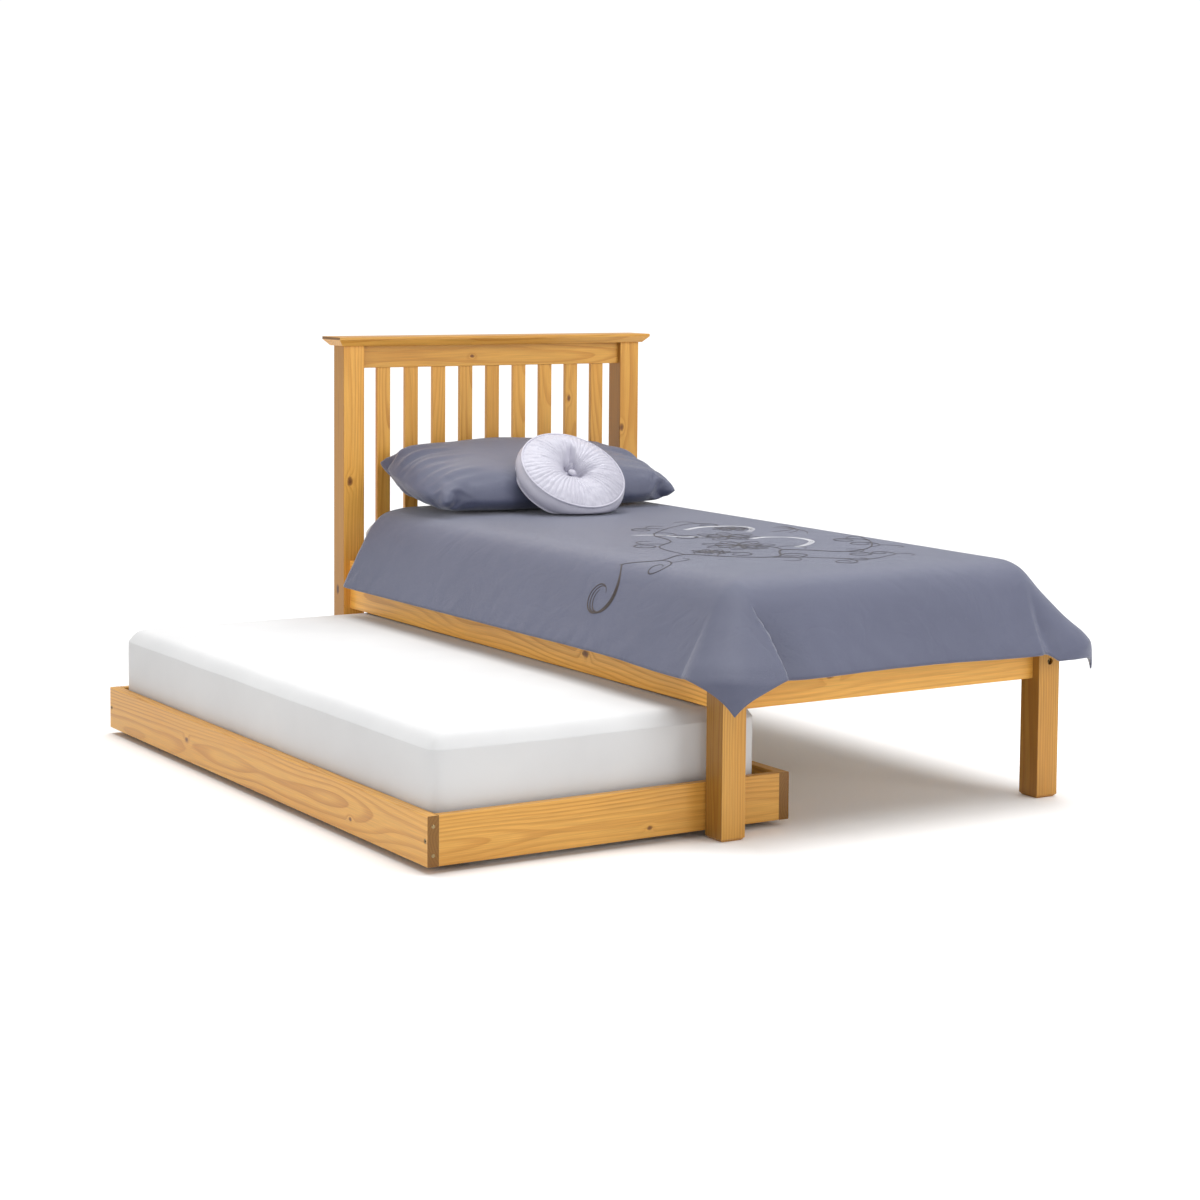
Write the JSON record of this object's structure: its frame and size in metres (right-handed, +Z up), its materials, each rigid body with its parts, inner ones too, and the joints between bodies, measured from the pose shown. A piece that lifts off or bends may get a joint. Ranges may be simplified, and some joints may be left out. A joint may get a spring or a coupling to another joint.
{
  "type": "trundle bed",
  "caption": "Single pine bed with a slatted headboard and a low foot end, and a second bed on castors that rolls out from under it, both with mattresses, and bedding on top.",
  "frame": {"origin": "on the floor, in the middle of the box that the whole object fills with the trundle pulled out", "axes": "+X across the bed, away from the pulled-out trundle; +Y from the foot to the headboard; +Z up"},
  "size_m": [1.792, 2.095, 1.086],
  "materials": {
    "lacquered_pine": "honey lacquer, satin",
    "bare_pine": "planed and bare",
    "beech": "fluted, bare",
    "bronzed_steel": "dark brass plating",
    "zinc_steel": "zinc plated",
    "castor_tyre": "matt black",
    "white_sheet": "white jersey fitted sheet",
    "blue_grey_cotton": "plain weave cotton, pressed",
    "lilac_satin": "pleated satin, soft sheen"
  },
  "bodies": {
    "bed": {"headboard_post_left": "lacquered_pine", "headboard_post_right": "lacquered_pine", "headboard_cap": "lacquered_pine", "headboard_top_rail": "lacquered_pine", "headboard_bottom_rail": "lacquered_pine", "headboard_slat_1": "lacquered_pine", "headboard_slat_2": "lacquered_pine", "headboard_slat_3": "lacquered_pine", "headboard_slat_4": "lacquered_pine", "headboard_slat_5": "lacquered_pine", "headboard_slat_6": "lacquered_pine", "headboard_slat_7": "lacquered_pine", "headboard_slat_8": "lacquered_pine", "headboard_slat_9": "lacquered_pine", "foot_leg_left": "lacquered_pine", "foot_leg_right": "lacquered_pine", "foot_rail": "lacquered_pine", "side_rail_left": "lacquered_pine", "side_rail_right": "lacquered_pine", "slat_ledge_left": "bare_pine", "slat_ledge_right": "bare_pine", "bed_slat_1": "bare_pine", "bed_slat_2": "bare_pine", "bed_slat_3": "bare_pine", "bed_slat_4": "bare_pine", "bed_slat_5": "bare_pine", "bed_slat_6": "bare_pine", "bed_slat_7": "bare_pine", "bed_slat_8": "bare_pine", "bed_slat_9": "bare_pine", "bed_slat_10": "bare_pine", "bed_slat_11": "bare_pine", "bed_slat_12": "bare_pine", "rail_dowels": "beech", "rail_bolts": "bronzed_steel", "rail_barrel_nuts": "zinc_steel", "bed_slat_screws": "zinc_steel", "mattress": "white_sheet", "duvet": "blue_grey_cotton", "pillow": "blue_grey_cotton", "round_cushion": "lilac_satin", "cushion_button": "lilac_satin"},
    "trundle": {"trundle_rail_outer": "lacquered_pine", "trundle_rail_inner": "lacquered_pine", "trundle_end_foot": "lacquered_pine", "trundle_end_head": "lacquered_pine", "trundle_ledge_outer": "bare_pine", "trundle_ledge_inner": "bare_pine", "trundle_slats": "bare_pine", "trundle_bolts": "bronzed_steel", "trundle_barrel_nuts": "zinc_steel", "trundle_screws": "zinc_steel", "castor_blocks": "bare_pine", "castor_forks": "zinc_steel", "castor_axles": "zinc_steel", "trundle_mattress": "white_sheet"},
    "wheel_outer_foot": {"castor_wheel_1": "castor_tyre"},
    "wheel_outer_head": {"castor_wheel_2": "castor_tyre"},
    "wheel_inner_foot": {"castor_wheel_3": "castor_tyre"},
    "wheel_inner_head": {"castor_wheel_4": "castor_tyre"}
  },
  "joints": [
    {"name": "trundle_slide", "type": "slide", "parent": "bed", "child": "trundle", "axis": [1, 0, 0], "range_m": [-0.25, 0.717]},
    {"name": "wheel_outer_foot_spin", "type": "hinge", "parent": "trundle", "child": "wheel_outer_foot", "pos_m": [-0.789, -0.8455, 0.025], "axis": [0, 1, 0], "continuous": true},
    {"name": "wheel_outer_head_spin", "type": "hinge", "parent": "trundle", "child": "wheel_outer_head", "pos_m": [-0.789, 0.8905, 0.025], "axis": [0, 1, 0], "continuous": true},
    {"name": "wheel_inner_foot_spin", "type": "hinge", "parent": "trundle", "child": "wheel_inner_foot", "pos_m": [-0.047, -0.8455, 0.025], "axis": [0, 1, 0], "continuous": true},
    {"name": "wheel_inner_head_spin", "type": "hinge", "parent": "trundle", "child": "wheel_inner_head", "pos_m": [-0.047, 0.8905, 0.025], "axis": [0, 1, 0], "continuous": true}
  ],
  "couplings": [
    {"joint": "wheel_outer_foot_spin", "follows": "trundle_slide", "rad_per_m": 40},
    {"joint": "wheel_outer_head_spin", "follows": "trundle_slide", "rad_per_m": 40},
    {"joint": "wheel_inner_foot_spin", "follows": "trundle_slide", "rad_per_m": 40},
    {"joint": "wheel_inner_head_spin", "follows": "trundle_slide", "rad_per_m": 40}
  ]
}
